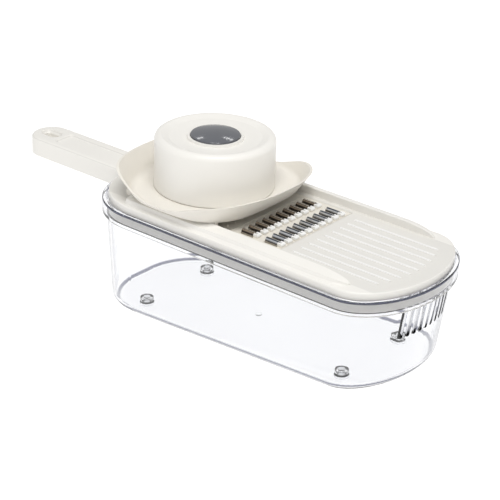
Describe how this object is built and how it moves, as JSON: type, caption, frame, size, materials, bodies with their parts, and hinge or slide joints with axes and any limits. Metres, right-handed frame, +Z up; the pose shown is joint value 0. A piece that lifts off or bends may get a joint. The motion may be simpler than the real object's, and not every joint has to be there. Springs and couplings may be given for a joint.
{
  "type": "mandoline slicer",
  "caption": "Handheld mandoline slicer on a clear catch tub, with ribbed feed deck, raised julienne blade insert and sliding food guard with push button.",
  "frame": {"origin": "under the middle of the whole slicer's box, on the table under the feet", "axes": "+X along the slicer towards its nose, +Y towards the left of someone at the handle facing the nose, +Z up"},
  "size_m": [0.3599, 0.12, 0.131],
  "materials": {
    "clear": "clear moulded plastic",
    "clear_foot": "clear moulded plastic",
    "cream": "fine matt moulding",
    "grey_gloss": "polished",
    "blade_steel": "bright stamped",
    "steel": "bright"
  },
  "bodies": {
    "tub": {"tub": "clear", "foot_rear_left": "clear_foot", "foot_rear_right": "clear_foot", "foot_front_left": "clear_foot", "foot_front_right": "clear_foot"},
    "deck": {"deck": "cream", "handle_cover": "cream", "handle_screws": "steel"},
    "insert": {"insert_frame": "cream", "blade_rear_row": "blade_steel", "blade_front_row": "blade_steel"},
    "guard": {"guard_tray": "cream", "knob_cap": "cream", "knob_screws": "steel"},
    "plunger": {"push_button": "grey_gloss", "plunger_stem": "cream", "food_plate": "cream", "food_prongs": "steel", "plate_screw": "steel", "return_spring": "steel"}
  },
  "joints": [
    {"name": "deck_lift", "type": "slide", "parent": "tub", "child": "deck", "axis": [0.0443, 0, 0.999], "range_m": [0, 0.06]},
    {"name": "insert_tilt", "type": "hinge", "parent": "deck", "child": "insert", "pos_m": [0.01929, 0, 0.07978], "axis": [0, -1, 0], "range_deg": [0, 2.5]},
    {"name": "guard_slide", "type": "slide", "parent": "deck", "child": "guard", "axis": [0.999, 0, -0.0443], "range_m": [-0.01, 0.112]},
    {"name": "button_press", "type": "slide", "parent": "guard", "child": "plunger", "axis": [-0.0443, 0, -0.999], "range_m": [0, 0.0095], "stiffness_N_per_m": 300, "deforming": ["return_spring"]}
  ]
}
